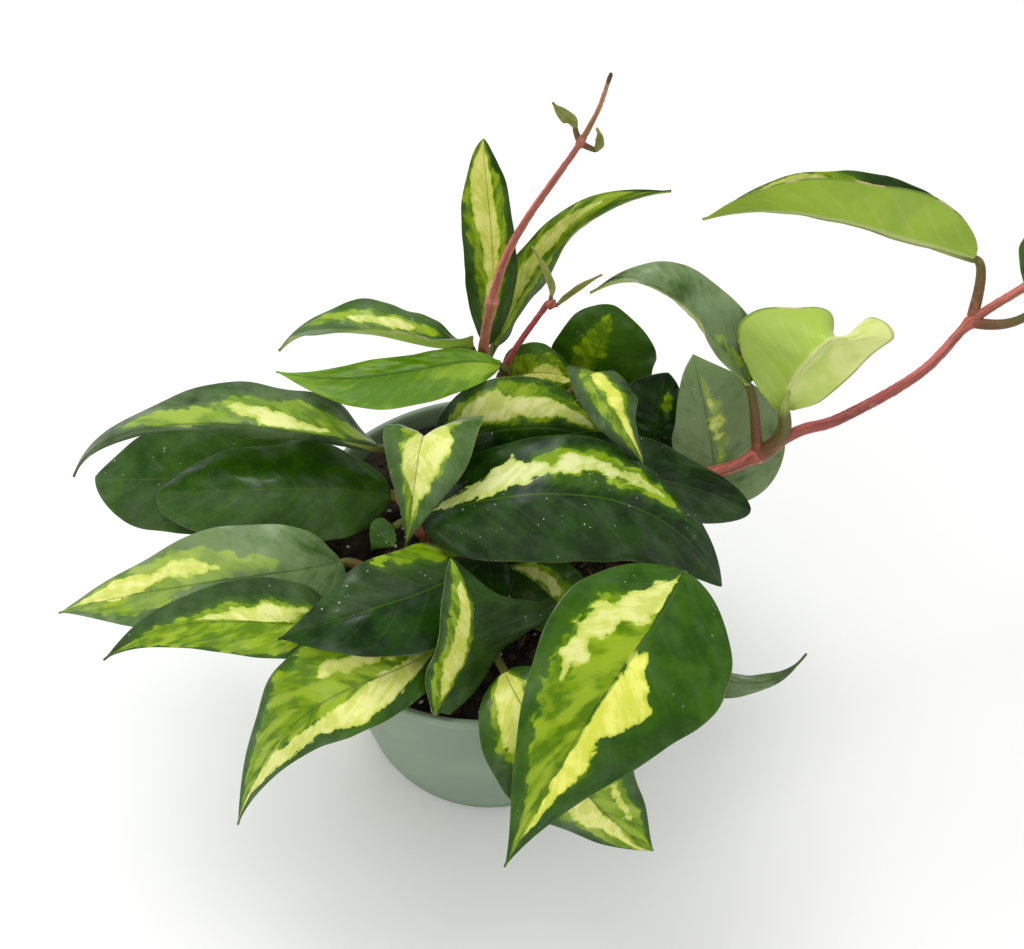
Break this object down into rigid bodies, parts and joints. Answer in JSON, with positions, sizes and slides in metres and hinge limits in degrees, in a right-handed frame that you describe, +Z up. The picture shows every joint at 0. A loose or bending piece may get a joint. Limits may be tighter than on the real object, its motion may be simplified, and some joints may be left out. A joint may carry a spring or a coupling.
{
  "type": "variegated hoya plant",
  "caption": "Trailing wax plant with pointed variegated leaves on short stems, two upright vines and one long side vine, growing in a small tapered nursery pot.",
  "frame": {"origin": "centre of the pot's flat underside, which rests on the ground", "axes": "+Z up; +X towards the long side vine, the way the plant spreads widest; -Y the plant's front"},
  "size_m": [0.2882, 0.1651, 0.2222],
  "materials": {
    "leaf": "waxy dark green with cream and lime markings",
    "young_leaf": "glossy fresh green",
    "stem": "rough pink-brown skin",
    "pot": "satin grey-green",
    "soil": "coarse dark bark mix"
  },
  "bodies": {
    "root": {"pot": "pot", "soil": "soil", "stem_tall": "stem", "stem_thin": "stem", "stem_right": "stem", "stem_centre": "stem", "stem_back": "stem", "stem_left": "stem", "stem_low_left": "stem", "stem_front": "stem", "stem_middle": "stem", "stem_front_right": "stem", "leaf_high_left": "leaf", "leaf_young_left": "young_leaf", "leaf_upright": "leaf", "leaf_swept_back": "leaf", "leaf_back_round": "leaf", "leaf_back_dark": "leaf", "leaf_right_sheen": "leaf", "leaf_right_arm": "leaf", "leaf_right_curled": "leaf", "leaf_twisted": "leaf", "leaf_pale_back": "leaf", "leaf_cream_arch": "leaf", "leaf_centre": "leaf", "leaf_under_centre": "leaf", "leaf_bent": "leaf", "leaf_left_long": "leaf", "leaf_left_under": "leaf", "leaf_left_dark": "leaf", "leaf_left_pale": "leaf", "leaf_left_low": "leaf", "leaf_mid_dark": "leaf", "leaf_front_left": "leaf", "leaf_folded": "leaf", "leaf_front_big": "leaf", "leaf_front_under": "leaf", "leaf_right_low": "leaf", "leaf_inner": "leaf", "leaf_far_arch": "leaf", "leaf_far_right": "leaf", "leaf_inner_small": "leaf", "leaf_back_low": "leaf", "leaf_back_right": "leaf"}
  },
  "joints": []
}
